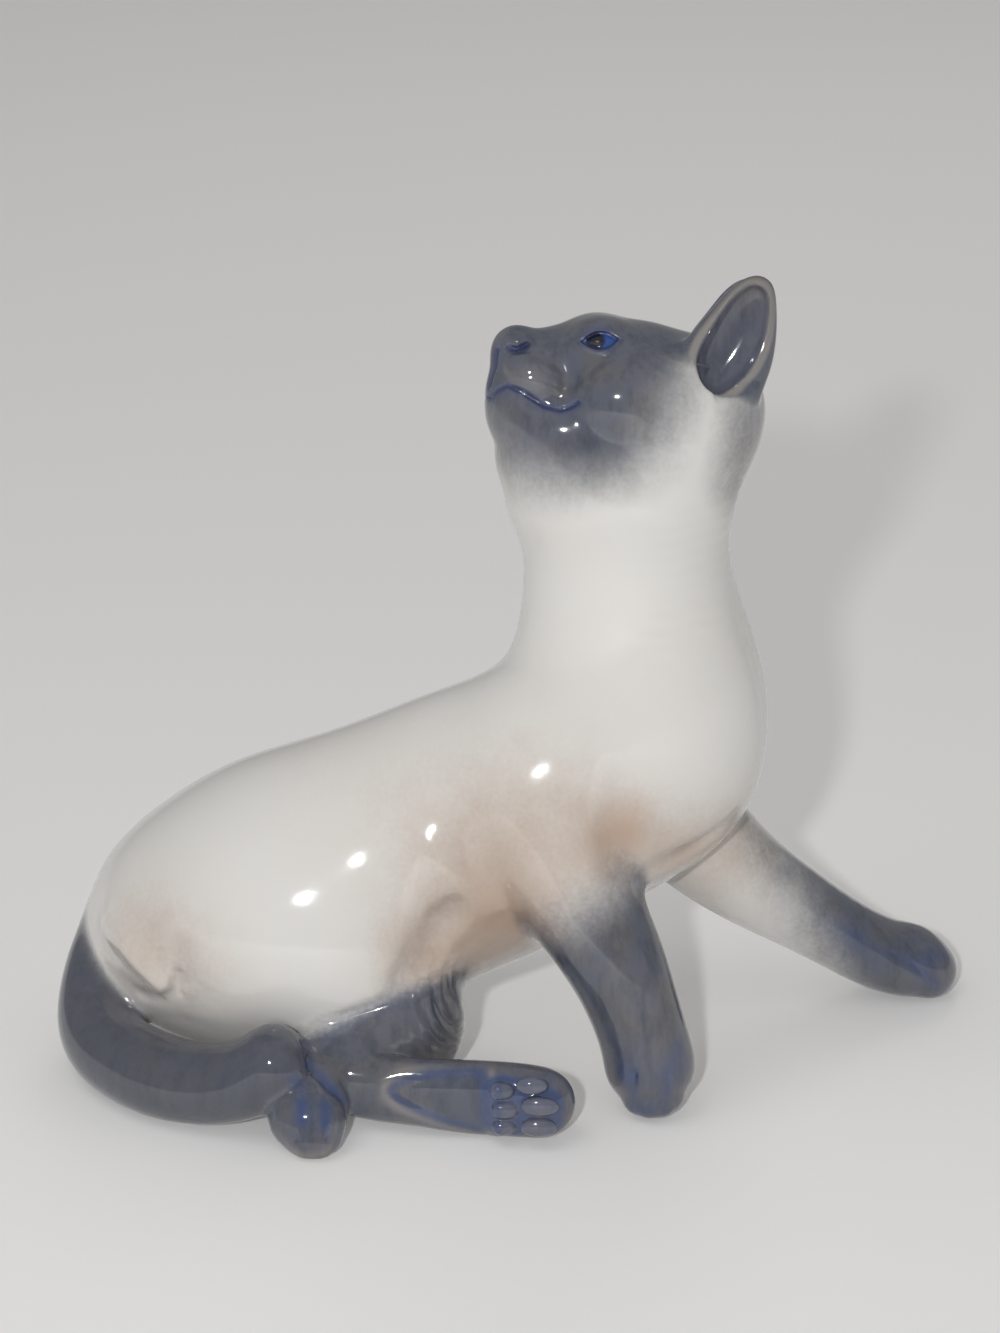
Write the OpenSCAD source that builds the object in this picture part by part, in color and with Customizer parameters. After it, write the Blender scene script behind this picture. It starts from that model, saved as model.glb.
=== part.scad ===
/* [Overall size] */
// Length, from the outside of the tail to the tip of the outstretched forepaw
figure_length = 212; // [180:1:260]
// Height to the ear tips
figure_height = 184; // [150:1:225]
// Depth, from the toes of the tucked hind foot to the far hip
figure_depth = 92; // [78:1:112]

/* [Castings] */
// Wall left by the slip in the hollow castings
wall = 4; // [3:0.5:6]
// Thickness of the slip between two coped castings
slip_joint = 0.2; // [0.1:0.05:0.3]
// Diameter of the drain hole under the belly
vent_d = 7; // [4:0.5:10]
// Height of the flat seam between neck and head
neck_seam_height = 132; // [124:1:136]
// Depth to which the resting faces are ground flat
foot_grinding = 0.8; // [0.4:0.1:1.2]

/* [Head] */
// Turn of the head about the line of the face, far cheek down
head_roll = 19; // [8:1:26]
// Lift of the chin above its modelled pose
chin_lift = 0; // [-4:1:6]
// Length of each ear beyond its root
ear_length = 18; // [14:1:24]
// Thickness of the ear at its rim
ear_wall = 2.2; // [1.6:0.1:3]

/* [Limbs and tail] */
// Radius of the tail along its middle
tail_radius = 9.5; // [8:0.5:11]
// Radius of the forelegs at the wrist
wrist_radius = 9.6; // [8:0.2:11]
// Half height of the hind foot that shows its sole
sole_radius = 10; // [8.5:0.5:11.5]
// Height of the pads above the sole
pad_height = 1.4; // [0.8:0.1:2]

/* [Hidden] */

// The stations below are for a figure of this length, depth and height.
modelled = [212, 92, 184];
stretch = [figure_length / modelled[0], figure_depth / modelled[1], figure_height / modelled[2]];
girth = (stretch[0] + stretch[1] + stretch[2]) / 3;
// Middle of the base, measured from the point under the breast where x and y are zero.
base_middle = [3.7, -11.8, 0];
sides = 24;
steps = 3;
blob_fn = 26;
cavity_sides = 16;
cavity_steps = 2;
// Length of a limb's rounded end, as a share of its radius.
bluntness = 0.65;
// The drain hole goes up into the hollow beside the ground face.
vent_place = [-30, 6, -1];
vent_depth = 16;

// Each sweep station is [x, y, z, half width in profile, half width across].
torso_path = [
    [-78, 3, 26, 18, 19],
    [-68, 2, 29.5, 28, 28],
    [-48, 0, 35, 36, 34],
    [-22, 0, 47, 35, 31],
    [2, 0, 58, 33, 29],
    [20, 0, 66, 29, 27]
];
neck_path = [
    [30, 0, 64, 26, 24],
    [31, -1, 74, 29, 26],
    [31, -1, 85, 29.5, 26],
    [29.5, 0, 98, 27, 24],
    [28, 0, 113, 23.5, 21.5],
    [27.5, 0, 127, 22.5, 20.5],
    [26.5, 0, 138, 24.5, 20],
    [28, 1, 148, 25, 18]
];
right_foreleg_path = [
    [8, -12, 72, 15, 11],
    [13, -20, 60, 13.5, 11.5],
    [20, -26, 45, 12.4, 11],
    [26.5, -30, 34, 11, 10.5],
    [31.5, -32, 21, wrist_radius + 0.3, wrist_radius],
    [33.5, -32, 12, wrist_radius, wrist_radius]
];
left_foreleg_path = [
    [32, 5, 64, 15, 13],
    [45, 8, 48.5, 14, 12],
    [56, 12, 37, 12.5, 11],
    [70, 15, 26, 10.5, 10],
    [84, 18, 15, 9, wrist_radius - 0.3],
    [93, 20, 10, 8.2, wrist_radius - 0.6]
];
tail_path = [
    [-70, 5, 34, 1.2],
    [-84, 5, 28, 1.12],
    [-90, -3, 19, 1.05],
    [-91.5, -12, 12, 1.02],
    [-88.5, -21, 9, 1],
    [-82, -29, 9, 1],
    [-74, -35, 9, 1],
    [-64, -38.5, 9.6, 0.98],
    [-55, -41, 13, 0.93],
    [-48, -43, 18, 0.86]
];

// Each blob is [x, y, z, x radius, y radius, z radius].
haunch = [[-60, -6, 34, 24, 27, 30], [-46, -12, 35, 30, 27, 31], [-32, -15, 33, 24, 22, 26],
          [-24, -20, 28, 15, 14, 16]];
far_hip = [[-56, 8, 32, 26, 24, 28], [-40, 10, 34, 26, 22, 28], [-24, 10, 30, 18, 18, 20]];
shoulder = [[4, -6, 72, 16, 20, 17], [9, -12, 67, 16, 16, 17], [14, -17, 60, 14, 13, 14]];
knee_and_hock = [[-23, -22, 15, 15.5, 14, 16.5], [-34, -29, 14, 12.5, 11.5, 13],
                 [-41, -37, 12.5, 8.5, 8, 10], [-41.5, -46, 8.2, 9, 8, 8.4],
                 [-41.3, -51.5, 7, 8.6, 6, 7]];
sole_foot = [[-36, -35, 9, 8.5, 8.5, 8.8], [-16, -41.5, 9.2, 9, 7.4, 0.92],
             [2, -44.5, 9.2, 9, 7.2, 1], [9, -45.5, 9, 8.8, 6.8, 0.96]];
sole_front = -51.5;

skull = [[4, 0, -4, 18.5, 18, 15.5], [-10, 0, 2, 13, 14, 14]];
muzzle = [[-10, 0, 2, 13, 14, 14], [-25, 0, 4.5, 9.5, 9, 9], [-31, 0, 7.5, 5, 4.6, 5.4]];
jaw = [[4, 0, -6, 18, 17.5, 14], [-12, 0, -3, 14, 14, 12], [-28.5, 0, -2, 7.8, 7.4, 7.5],
       [-13, 3, -13, 20, 15, 11]];
throat = [[2, 1, -8, 19.5, 18, 12], [-11, 4, -14, 21, 16, 12], [-6.5, 8, -24, 21.5, 17, 9]];
head_place = [33.5, 1, 158.5];

function to_size(p) = [p[0] * stretch[0], p[1] * stretch[1], p[2] * stretch[2]];
function unit(v) = v / norm(v);
function spline(a, b, c, d, t) =
    0.5 * (2 * b + (c - a) * t + (2 * a - 5 * b + 4 * c - d) * t * t + (3 * b - a - 3 * c + d) * t * t * t);
function refine(s, n) = [
    for (i = [0 : len(s) - 2]) for (j = [0 : n - 1])
        spline(s[max(i - 1, 0)], s[i], s[i + 1], s[min(i + 2, len(s) - 1)], j / n),
    s[len(s) - 1]
];
function tail_stations() = [for (s = tail_path) [s[0], s[1], s[2], s[3] * tail_radius, s[3] * tail_radius]];

// One ring of points round the station, square to the path, with its first radius across the reference.
function ring(p, t, ref, a, b, n) =
    let (s = unit(cross(ref, t)), u = cross(t, s))
    [for (k = [0 : n - 1]) p + a * cos(360 * k / n) * s + b * sin(360 * k / n) * u];

// A smooth limb through the stations, round at both ends.
module sweep(stations, ref, grow = 0) {
    n = grow < 0 ? cavity_sides : sides;
    s = refine(stations, grow < 0 ? cavity_steps : steps);
    last = len(s) - 1;
    p = [for (q = s) to_size(q)];
    t = [for (i = [0 : last]) unit(p[min(i + 1, last)] - p[max(i - 1, 0)])];
    a = [for (q = s) q[3] * girth + grow];
    b = [for (q = s) q[4] * girth + grow];
    first_end = t[0] * a[0] * bluntness;
    last_end = t[last] * a[last] * bluntness;
    start = [for (w = [60, 30]) ring(p[0] - first_end * sin(w), t[0], ref, a[0] * cos(w), b[0] * cos(w), n)];
    end = [for (w = [30, 60]) ring(p[last] + last_end * sin(w), t[last], ref,
                                   a[last] * cos(w), b[last] * cos(w), n)];
    rings = concat(start, [for (i = [0 : last]) ring(p[i], t[i], ref, a[i], b[i], n)], end);
    m = len(rings);
    points = concat([p[0] - first_end], [for (r = rings) each r], [p[last] + last_end]);
    top = len(points) - 1;
    faces = concat(
        [for (k = [0 : n - 1]) [0, 1 + k, 1 + (k + 1) % n]],
        [for (i = [0 : m - 2]) for (k = [0 : n - 1])
            let (k2 = (k + 1) % n, o = 1 + i * n) [o + k, o + n + k, o + n + k2, o + k2]],
        [for (k = [0 : n - 1]) let (o = 1 + (m - 1) * n) [o + k, top, o + (k + 1) % n]]
    );
    polyhedron(points, faces, convexity = 6);
}

module blob(b, grow = 0) {
    translate(to_size(b)) scale([b[3] * girth + grow, b[4] * girth + grow, b[5] * girth + grow])
        sphere(1, $fn = grow < 0 ? cavity_sides : blob_fn);
}

// Blobs joined one to the next.
module chain(blobs, grow = 0) {
    for (i = [0 : len(blobs) - 2]) hull() {
        blob(blobs[i], grow);
        blob(blobs[i + 1], grow);
    }
}

module above(height) translate([-400, -400, height]) cube([800, 800, 800]);
module below(height) translate([-400, -400, height - 800]) cube([800, 800, 800]);

// What rests on the table is ground flat there.
module ground_flat() difference() {
    children();
    below(foot_grinding);
}

// Brings the middle of the ground face to the origin.
module place_figure() {
    translate([-base_middle[0] * stretch[0], -base_middle[1] * stretch[1], -foot_grinding]) children();
}

module place_head() translate(to_size(head_place)) rotate([-head_roll, chin_lift, 0]) children();

// The head's blobs keep their own shape, whatever way the figure is stretched.
module head_blob(b, grow = 0) {
    translate([b[0], b[1], b[2]] * girth)
        scale([b[3] * girth + grow, b[4] * girth + grow, b[5] * girth + grow])
            sphere(1, $fn = grow < 0 ? cavity_sides : blob_fn);
}

module head_chain(blobs, grow = 0) {
    for (i = [0 : len(blobs) - 2]) hull() {
        head_blob(blobs[i], grow);
        head_blob(blobs[i + 1], grow);
    }
}

module trunk_form(grow = 0) {
    sweep(torso_path, [0, 1, 0], grow);
    sweep(neck_path, [0, 1, 0], grow);
    chain(haunch, grow);
    chain(far_hip, grow);
    chain(shoulder, grow);
}

module head_form(grow = 0) {
    place_head() {
        head_chain(skull, grow);
        head_chain(muzzle, grow);
        head_chain(jaw, grow);
        head_chain(throat, grow);
    }
}

// Forms of the neck and head together, so that the seam between them matches.
module body_form(grow = 0) {
    trunk_form(grow);
    head_form(grow);
}

module trunk() color("ivory") place_figure() ground_flat() difference() {
    body_form();
    above(neck_seam_height * stretch[2]);
    intersection() {
        body_form(-wall);
        above(foot_grinding + wall);
    }
    translate(to_size(vent_place)) cylinder(d = vent_d, h = vent_depth, $fn = 32);
}

module head() color("slategray") place_figure() difference() {
    body_form();
    below(neck_seam_height * stretch[2]);
    body_form(-wall);
}

module ear_form(grow = 0) {
    reach = ear_length / 18;
    head_chain([[15, -9, 3, 9.5, 5.5, 9], [17.5, -11, 4 + 9 * reach, 8.3, 4.2, 7.5],
                [21.5, -12.5, 4 + 18 * reach, 3, 2.2, 2.8]], grow);
}

module ear_hollow() {
    reach = ear_length / 18;
    rim = [0, -ear_wall * 2, ear_wall * 0.3];
    translate(rim) head_chain([[14.5, -9, 4, 7.5, 5, 7], [17.2, -11, 4 + 8.5 * reach, 6.3, 4.2, 6],
                               [21, -12.5, 4 + 16.2 * reach, 1.8, 2.4, 1.8]]);
}

module ear() difference() {
    ear_form();
    ear_hollow();
}

module ear_left() color("slategray") place_figure() difference() {
    place_head() ear();
    body_form(slip_joint);
}

module ear_right() color("slategray") place_figure() difference() {
    place_head() mirror([0, 1, 0]) ear();
    body_form(slip_joint);
}

// A paw on the table: its ball, and toes fanned out beyond it towards the heading.
module paw(ball, heading, fan, reach, toe) {
    blob(ball);
    for (k = [-1.5 : 1 : 1.5]) {
        out = reach - 0.35 * k * k;
        tip = [ball[0] + out * cos(heading + k * fan), ball[1] + out * sin(heading + k * fan), toe[2]];
        hull() {
            blob(ball, -1.2);
            blob([tip[0], tip[1], tip[2], toe[0], toe[0], toe[1]]);
        }
    }
}

module right_paw() paw([33.5, -32, 8.6, 9.8, 8.6, 8.8], -80, 24, 6.4, [3.4, 4.6, 4.4]);

module left_paw() paw([96, 20.5, 7.8, 9, 8.3, 8], 6, 24, 9.3, [3.4, 4.6, 4.4]);

module foreleg_right() color("slategray") place_figure() ground_flat() difference() {
    union() {
        sweep(right_foreleg_path, [0, 1, 0]);
        right_paw();
    }
    trunk_form(slip_joint);
}

module foreleg_left() color("slategray") place_figure() ground_flat() difference() {
    union() {
        sweep(left_foreleg_path, [0, 1, 0]);
        left_paw();
    }
    trunk_form(slip_joint);
}

module hind_right_form(grow = 0) {
    chain(knee_and_hock, grow);
    for (k = [-1 : 1]) hull() {
        blob([-41.5, -46, 8, 6, 6, 7], grow);
        blob([-41.5 + 5 * k, -54 + abs(k), 5.4, 3.4, 3.4, 5], grow);
    }
}

module hind_leg_right() color("slategray") place_figure() ground_flat() difference() {
    hind_right_form();
    trunk_form(slip_joint);
}

function foot_blob(b) = [b[0], b[1], b[2], b[3], b[4], b[5] < 2 ? b[5] * sole_radius : b[5]];

module sole_pad(x, z, rx, rz) {
    translate(to_size([x, sole_front, z])) scale([rx, pad_height + 1.2, rz] * girth) sphere(1, $fn = 18);
}

module hind_left_form() {
    chain([for (b = sole_foot) foot_blob(b)]);
    for (z = [4.5, 9, 13.5]) sole_pad(3.5, z, 1.9, 1.9);
    for (z = [5, 9.6, 14.2]) sole_pad(9.5, z, 3.4, 2.1);
}

module hind_leg_left() color("slategray") place_figure() ground_flat() difference() {
    hind_left_form();
    trunk_form(slip_joint);
    hind_right_form(slip_joint);
}

module tail() color("slategray") place_figure() ground_flat() difference() {
    sweep(tail_stations(), [0, 0, 1]);
    trunk_form(slip_joint);
    hind_right_form(slip_joint);
}

trunk();
head();
ear_left();
ear_right();
foreleg_left();
foreleg_right();
hind_leg_left();
hind_leg_right();
tail();
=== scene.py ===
"""A glazed porcelain cat, half reclining with braced forelegs and a raised chin.

The figure is modelled as one clay form, a field of blended blobs, and is then parted into the castings
that a pottery pours. Each casting is meshed from the same field, so the glaze runs on across the seams.
Figure lengths here are millimetres from a point under the breast, and to_frame turns them into the frame.
"""

import math

import bpy
import numpy as np
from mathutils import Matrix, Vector


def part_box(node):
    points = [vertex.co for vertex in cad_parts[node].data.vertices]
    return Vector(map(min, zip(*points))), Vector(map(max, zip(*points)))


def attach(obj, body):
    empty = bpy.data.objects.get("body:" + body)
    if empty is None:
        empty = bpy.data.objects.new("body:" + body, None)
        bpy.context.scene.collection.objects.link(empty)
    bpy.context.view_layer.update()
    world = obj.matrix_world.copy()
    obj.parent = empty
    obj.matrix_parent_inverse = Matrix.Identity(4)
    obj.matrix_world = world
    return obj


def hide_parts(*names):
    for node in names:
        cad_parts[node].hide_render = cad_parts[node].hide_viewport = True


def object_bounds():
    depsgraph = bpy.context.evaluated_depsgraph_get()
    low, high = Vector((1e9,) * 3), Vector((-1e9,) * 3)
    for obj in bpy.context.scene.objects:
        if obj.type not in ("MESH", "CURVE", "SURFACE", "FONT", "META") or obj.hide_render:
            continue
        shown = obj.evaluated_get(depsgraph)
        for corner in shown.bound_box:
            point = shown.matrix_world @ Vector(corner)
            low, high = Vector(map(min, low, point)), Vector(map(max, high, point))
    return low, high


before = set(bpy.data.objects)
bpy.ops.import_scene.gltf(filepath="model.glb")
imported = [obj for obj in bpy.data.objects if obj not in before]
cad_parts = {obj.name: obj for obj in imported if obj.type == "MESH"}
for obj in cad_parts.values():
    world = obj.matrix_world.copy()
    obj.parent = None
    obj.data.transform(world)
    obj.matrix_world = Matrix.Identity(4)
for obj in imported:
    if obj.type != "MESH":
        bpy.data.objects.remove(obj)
cad_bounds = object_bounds()

bl_info = {
    "name": "Porcelain Cat",
    "version": (1, 0, 0),
    "blender": (4, 5, 0),
    "location": "3D View > Sidebar > Porcelain Cat",
    "description": "Builds a slip-cast, glazed cat figurine round its packed frame",
    "category": "Object",
}

# ---------------------------------------------------------------- size and place, from the frame

# The figure was modelled at this size, standing on faces ground off at this height.
MM = 0.001
MODELLED = np.array([209.8, 91.4, 185.3])
FOOT_GRINDING = 0.8
BASE_MIDDLE = np.array([3.7, -11.8, FOOT_GRINDING])
FRAME_LOW = np.array(cad_bounds[0])
FRAME_SIZE = np.array(cad_bounds[1]) - FRAME_LOW
STRETCH = FRAME_SIZE / (MODELLED * MM)
NECK_SEAM = 132.0


def to_frame(points):
    """Figure millimetres to metres in the frame."""
    return (np.asarray(points, float) - BASE_MIDDLE) * MM * STRETCH


# ---------------------------------------------------------------- the clay form

def unit(v):
    """The vectors brought to a length of one."""
    return v / np.linalg.norm(v, axis=-1, keepdims=True)


def refine(stations, pieces):
    """A Catmull-Rom curve through the stations, all their numbers alike."""
    s = np.array(stations, float)
    padded = np.vstack([2 * s[0] - s[1], s, 2 * s[-1] - s[-2]])
    out = []
    for a, b, c, d in zip(padded[:-3], padded[1:-2], padded[2:-1], padded[3:]):
        for t in np.arange(pieces) / pieces:
            out.append(0.5 * (2 * b + (c - a) * t + (2 * a - 5 * b + 4 * c - d) * t * t
                              + (3 * b - a - 3 * c + d) * t ** 3))
    return np.array(out + [s[-1]])


# Blobs further than REACH from a cell of points are passed over, and a form with none near reads FAR.
REACH = 16.0
CELL = 16.0
FAR = 90.0
# The most that a blob's depth may weigh as a power of e, so that the sum stays within a 32-bit float.
POWER_LIMIT = 60
ORIGIN = np.zeros(3)
UPRIGHT = np.eye(3)


def by_cell(work, p):
    """Does the work on the points a cell at a time, so that far blobs can be passed over."""
    cell = np.floor(p / CELL).astype(int)
    _, which = np.unique(cell, axis=0, return_inverse=True)
    order = np.argsort(which.ravel(), kind="stable")
    groups = np.split(order, np.nonzero(np.diff(which.ravel()[order]))[0] + 1)
    done = [work(p[g]) for g in groups]
    if isinstance(done[0], dict):
        out = {k: np.empty(len(p), v.dtype) for k, v in done[0].items()}
        for g, d in zip(groups, done):
            for k, v in d.items():
                out[k][g] = v
        return out
    out = np.empty(len(p), done[0].dtype)
    for g, d in zip(groups, done):
        out[g] = d
    return out


class Forms:
    """Forms of ellipsoid blobs, each form's own blobs melted together, all worked out in one go."""

    def __init__(self, forms):
        self.names = list(forms)
        forms = list(forms.values())
        self.centres = np.vstack([f.centres for f in forms])
        self.sizes = np.concatenate([f.radii.max(1) for f in forms])
        self.squares = np.concatenate([np.stack(f.squares) for f in forms], axis=1)
        self.owner = np.repeat(np.arange(len(forms)), [len(f.centres) for f in forms])
        self.melts = np.array([f.melt for f in forms])
        self.offsets = np.array([f.offset for f in forms])

    def __call__(self, p):
        low, high = p.min(0), p.max(0)
        outside = np.maximum(np.maximum(low - self.centres, self.centres - high), 0)
        near = np.nonzero(np.linalg.norm(outside, axis=1) - self.sizes < REACH)[0]
        values = np.full((len(self.names), len(p)), FAR, p.dtype)
        if len(near):
            origin = (low + high) / 2
            x, y, z = (p - origin).T
            terms = np.stack([x * x, y * y, z * z, x * y, x * z, y * z, x, y, z, np.ones_like(x)])
            centre = self.centres[near] - origin
            s = self.squares[:, near]
            pull = np.einsum("kbij,bj->kbi", s, centre)
            rows = np.stack([s[..., 0, 0], s[..., 1, 1], s[..., 2, 2], 2 * s[..., 0, 1], 2 * s[..., 0, 2],
                             2 * s[..., 1, 2], *np.moveaxis(-2 * pull, 2, 0), (pull * centre).sum(2)], 2)
            reach = np.sqrt(np.maximum(rows.astype(p.dtype) @ terms, 1e-9))
            owner = self.owner[near]
            steep = (-1 / self.melts[owner])[:, None].astype(p.dtype)
            depth = reach[0] * (reach[0] - 1) / reach[1] * steep
            first = np.nonzero(np.diff(owner, prepend=-1))[0]
            weight = np.exp(np.clip(depth, -POWER_LIMIT, POWER_LIMIT))
            total = np.add.reduceat(weight, first, axis=0)
            who = owner[first]
            values[who] = -self.melts[who, None] * np.log(total + 1e-26) - self.offsets[who, None]
        return dict(zip(self.names, values))


class Form:
    """Ellipsoid blobs; melt is how far they melt into one another, in millimetres."""

    def __init__(self, centres, axes, radii, melt):
        self.centres = np.asarray(centres, float)
        self.radii = np.asarray(radii, float)
        self.melt = melt
        self.offset = 0.0
        scaled = [np.asarray(axes, float) / self.radii[:, :, None] ** power for power in (1, 2)]
        self.squares = [np.einsum("bij,bik->bjk", s, s) for s in scaled]

    def __call__(self, p):
        return Forms({"only": self})(p)["only"]

    def settle(self, surface):
        """Takes off what melting adds, so that the form passes through these points on average."""
        self.offset = float(self(np.asarray(surface, float)).mean())
        return self


def limb(stations, across, melt, pieces=5, squat=0.8):
    """A limb through stations [x, y, z, half width in profile, half width across]."""
    s = refine(stations, pieces)
    p = s[:, :3]
    tangent = unit(np.gradient(p, axis=0))
    side = unit(np.cross(np.array(across, float), tangent))
    up = np.cross(tangent, side)
    length = squat * s[:, 3:5].min(1)
    form = Form(p, np.stack([tangent, side, up], 1), np.column_stack([length, s[:, 3], s[:, 4]]), melt)
    inner = slice(pieces, -pieces)
    rim = [p + k * s[:, 3:4] * side for k in (-1, 1)] + [p + k * s[:, 4:5] * up for k in (-1, 1)]
    return form.settle(np.vstack([r[inner] for r in rim]))


def turned(axis, degrees):
    """A turn about one axis, as a matrix."""
    a = math.radians(degrees)
    c, s = math.cos(a), math.sin(a)
    return {"x": np.array([[1, 0, 0], [0, c, -s], [0, s, c]]),
            "y": np.array([[c, 0, s], [0, 1, 0], [-s, 0, c]]),
            "z": np.array([[c, -s, 0], [s, c, 0], [0, 0, 1]])}[axis]


def blobs(rows, melt, place=ORIGIN, turn=UPRIGHT):
    """Blobs [x, y, z, rx, ry, rz, optional tilt about y], in figure or in head coordinates."""
    centres = [turn @ np.array(r[:3], float) + place for r in rows]
    axes = [(turn @ turned("y", r[6] if len(r) > 6 else 0)).T for r in rows]
    return Form(centres, axes, [r[3:6] for r in rows], melt)


def melted(a, b, k):
    """The union of two fields, filleted over k millimetres."""
    h = np.maximum(k - np.abs(a - b), 0) / k
    return np.minimum(a, b) - h * h * h * k / 6


def carved(a, b, k):
    """Field a with field b cut away, its edge softened over k millimetres."""
    return -melted(-a, b, k)


def smoothstep(low, high, x):
    """From 0 at low to 1 at high, eased at both ends; low may be the larger one."""
    t = np.clip((x - low) / (high - low), 0, 1)
    return t * t * (3 - 2 * t)


# ---------------------------------------------------------------- the cat's own stations

TORSO = [
    [-84, 3, 24, 10, 12], [-78, 3, 26, 20, 20], [-68, 2, 29.5, 28.5, 28], [-48, 0, 35.5, 35.5, 33],
    [-22, 0, 47, 34, 30], [2, 0, 58, 33, 28.5], [20, 0, 66, 28, 26], [30, 0, 70, 20, 20],
]
NECK = [
    [31, 0, 62, 20, 19], [31, -1, 70, 27, 24], [31, -1, 82, 29.3, 25.5], [30, 0, 96, 27.5, 24],
    [28.3, 0, 112, 23.8, 21.5], [27.6, 0, 126, 22.6, 20.3], [26.6, 0.5, 137, 24.4, 19.8],
    [27.5, 1, 147, 24.5, 17.5],
]
HAUNCH = [
    [-62, -5, 33, 22, 24, 27], [-50, -11, 34, 27, 25, 29], [-37, -14, 33, 25, 23, 27],
    [-27, -18, 30, 18, 17, 20], [-21, -21, 26, 12.5, 12.5, 14],
]
FAR_HIP = [[-56, 8, 31, 26, 24, 28], [-40, 10, 33, 26, 22, 28], [-26, 10, 30, 18, 17, 20]]
SHOULDER_RIGHT = [[4, -8, 74, 15, 17, 17], [7, -13, 66, 15, 15.5, 16], [10, -17, 58, 14, 13, 14],
                  [13, -20, 50, 11, 10.5, 12]]
SHOULDER_LEFT = [[38, 8, 66, 16, 15, 16], [34, 12, 76, 15, 13, 17]]
FORELEG_RIGHT = [
    [6, -11, 74, 14, 9.5], [12, -19, 61, 14, 11], [19, -25.5, 47, 12.8, 11], [25.8, -29.5, 35, 11.2, 10.4],
    [30.8, -31.7, 22, 10, 9.7], [33.2, -32.2, 13, 9.7, 9.6], [33.8, -33, 9.2, 9.2, 9.4],
]
FORELEG_LEFT = [
    [30, 4, 66, 14, 12], [44, 8, 49, 13.2, 12], [56, 12, 36.2, 11.4, 11], [70, 15, 25.2, 9.6, 9.9],
    [84, 18, 14.8, 8.6, 9.2], [92, 20, 10, 8.1, 8.9], [97, 21, 8.8, 7.4, 8.6],
]
# The ball of the far forepaw, behind its toes.
PAW_LEFT = [97, 20.4, 9.2, 8.4, 8.8, 7.6]
TAIL = [
    [-70, 7, 40, 12, 12], [-78, 7, 34, 11.6, 11.6], [-85, 4.5, 27.5, 10.8, 10.8], [-90, -3, 19, 10.1, 10.1],
    [-91.5, -12, 12, 9.7, 9.7], [-88.5, -21, 9.4, 9.5, 9.5], [-82, -29, 9.2, 9.5, 9.5],
    [-74, -35, 9.2, 9.5, 9.4], [-64, -38.5, 9.8, 9.3, 9.2], [-55, -41, 13, 9.1, 8.9],
    [-48.7, -42.4, 18.4, 8.7, 8.7],
]
SHANK_RIGHT = [
    [-22.5, -21, 16, 14.5, 13.5, 15.5], [-27, -24, 15, 13.5, 12.5, 14.5], [-33, -29, 13.4, 11.5, 10.5, 12],
    [-38.5, -35, 11.4, 8.2, 8, 8.8], [-41, -40, 9.6, 7.2, 7, 7.8], [-42, -45, 7.8, 7.8, 7, 7.4],
    [-42.2, -49.6, 6.8, 8, 6.2, 6.8],
]
SOLE_FOOT = [
    [-45, -20, 12.4, 9, 9, 10], [-42, -29, 12, 9, 8.8, 9.6], [-36.5, -36.5, 11, 9, 8.2, 9.4],
    [-27, -39.6, 9.6, 8.8, 7.2, 9.2], [-16, -41.8, 9.4, 8.8, 6.9, 9.3], [-7, -43.4, 9.6, 8.8, 6.7, 9.8],
    [2, -44.8, 9.6, 8.8, 6.7, 10], [9.5, -45.6, 9.2, 8.6, 6.5, 9.6],
]

HEAD_PLACE = np.array([33.5, 1.0, 158.5])
HEAD_TURN = turned("x", -19) @ turned("z", 8)


def figure_to_head(p):
    """Figure points in the head's own coordinates, its nose towards minus x and its crown up."""
    return (p - HEAD_PLACE.astype(p.dtype)) @ HEAD_TURN.astype(p.dtype)


def both_sides(row):
    """A head row and its mirror image across the face."""
    return [row, [row[0], -row[1]] + list(row[2:])]


HEAD_SOLID = [
    [4, 0, -3.5, 18.5, 17.5, 15], [-5, 0, 1.5, 14, 14, 12.5], [-13, 0, 5.5, 9, 10.5, 10],
    [-20, -0.6, 5.4, 9, 7.4, 7.2], [-26, -1.4, 4.9, 7, 5.4, 6.0], [-30.8, -2.2, 8.4, 4.0, 3.2, 4.4],
    [-31, -2.4, 0.5, 4.6, 5.2, 5], [-28, -1.6, -4.5, 7.8, 7.6, 7.5], [-20, 0, -8, 12, 12, 9],
    [-13, 2.5, -14, 19.5, 14.5, 12], [2, 1, -9, 18.5, 17.5, 12], [-8, 6, -22, 20.5, 17, 10],
] + both_sides([-8, -9.5, -1.5, 11, 8, 8.5]) + both_sides([-13, -7, 9.2, 6.2, 4.6, 5])
WHISKER_PADS = [[-27.2, -7.4, 3.0, 7.2, 5.0, 4.7, 28], [-27.2, 4.0, 3.0, 7.2, 5.0, 4.7, 28]]
EAR = [
    [11, -11.4, 1.5, 10.4, 5, 8.5], [13, -12.3, 7, 10.4, 4.6, 9], [15.7, -13.3, 12.5, 8.3, 4, 8.5],
    [17.5, -14.4, 17.5, 6.2, 3.2, 6.5], [19.1, -15.2, 21.2, 3.9, 2.4, 3.8],
]
EAR_BOWL = [
    [10.2, -16, 3.2, 3.8, 4.4, 4.0], [12, -16.9, 7.2, 6.2, 5.2, 5.8], [14.7, -17.7, 12, 6.1, 5.2, 6.5],
    [16.6, -18, 16.5, 4.8, 4.5, 5.4], [18.3, -18, 19.6, 2.8, 3.5, 3.2],
]


def mirrored(rows, forward=4.6):
    """The far ear's rows; it was luted a little further back, behind the near one."""
    return [[r[0] + forward, -r[1]] + list(r[2:]) for r in rows]


def chain(rows, melt, pieces=3, place=ORIGIN, turn=UPRIGHT):
    """Blobs strung on a curve through the rows, settled on the rows' own half widths across."""
    fine = refine(rows, pieces)
    form = blobs(fine.tolist(), melt, place, turn)
    inner = fine[pieces:-pieces]
    rim = [inner[:, :3] + k * inner[:, 4:5] * np.array([0, 1, 0]) for k in (-1, 1)]
    return form.settle(np.vstack(rim) @ turn.T + place)


# ---------------------------------------------------------------- fine modelling

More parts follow.
